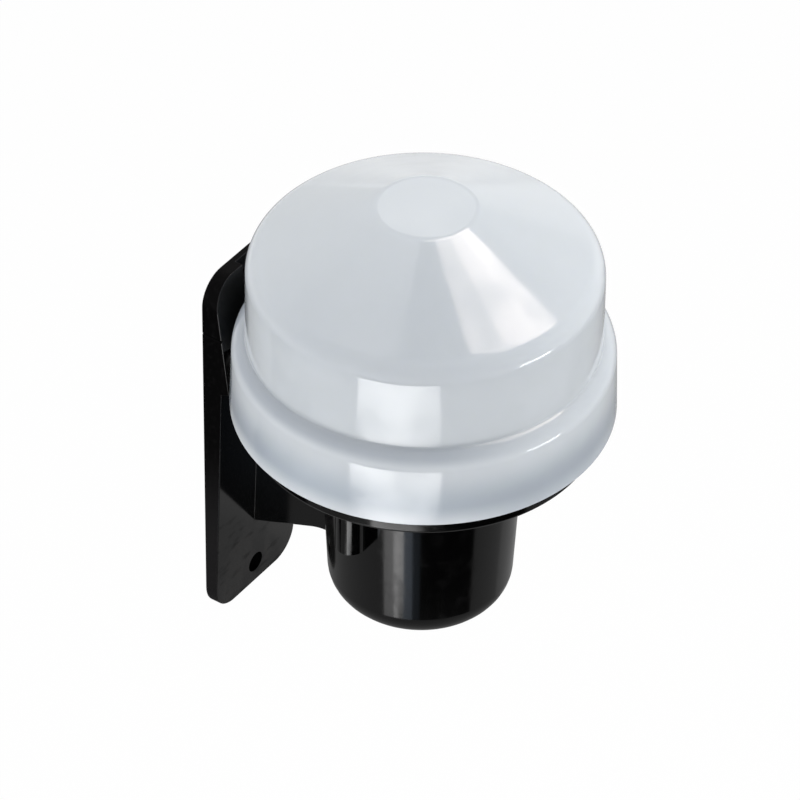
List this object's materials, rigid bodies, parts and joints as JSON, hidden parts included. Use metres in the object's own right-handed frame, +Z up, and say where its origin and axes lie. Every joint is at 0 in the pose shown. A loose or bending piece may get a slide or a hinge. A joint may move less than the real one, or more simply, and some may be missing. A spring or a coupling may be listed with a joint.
{
  "type": "photocell switch",
  "caption": "Dusk to dawn photocell switch: black wall bracket with a web, wiring cup and tray, circuit board, and a milky conical clip-on dome.",
  "frame": {"origin": "centre of the wall plate's back face, on the wall", "axes": "+Y into the wall, +Z up along the dome's axis, +X to the right for someone who faces the wall"},
  "size_m": [0.075, 0.0808, 0.1145],
  "materials": {
    "bracket": "glossy black moulding",
    "dome_cover": "milky translucent, glossy",
    "dome_seal": "matt rubber",
    "cable_grommet": "matt rubber",
    "circuit_board": "bare phenolic board",
    "board_screws": "zinc plated",
    "solder_joints": "bright solder",
    "component_leads": "tinned wire",
    "light_sensor": "clear coated disc",
    "sensor_spacer": "white nylon",
    "relay": "blue moulded case",
    "film_capacitor": "yellow moulded case",
    "electrolytic_capacitor": "dark sleeve",
    "rectifier_diodes": "black moulded",
    "zener_diode": "glass body",
    "resistors": "lacquered body",
    "inrush_resistor": "cement coated body",
    "varistor": "epoxy dipped disc",
    "transistor": "black moulded",
    "terminal_block": "white polyamide",
    "terminal_clamps": "plain brass",
    "terminal_screws": "zinc plated"
  },
  "bodies": {
    "root": {"bracket": "bracket", "dome_cover": "dome_cover", "dome_seal": "dome_seal", "cable_grommet": "cable_grommet", "circuit_board": "circuit_board", "board_screws": "board_screws", "solder_joints": "solder_joints", "component_leads": "component_leads", "light_sensor": "light_sensor", "sensor_spacer": "sensor_spacer", "relay": "relay", "film_capacitor": "film_capacitor", "electrolytic_capacitor": "electrolytic_capacitor", "rectifier_diodes": "rectifier_diodes", "zener_diode": "zener_diode", "resistors": "resistors", "inrush_resistor": "inrush_resistor", "varistor": "varistor", "transistor": "transistor", "terminal_block": "terminal_block", "terminal_clamps": "terminal_clamps", "terminal_screws": "terminal_screws"}
  },
  "joints": []
}
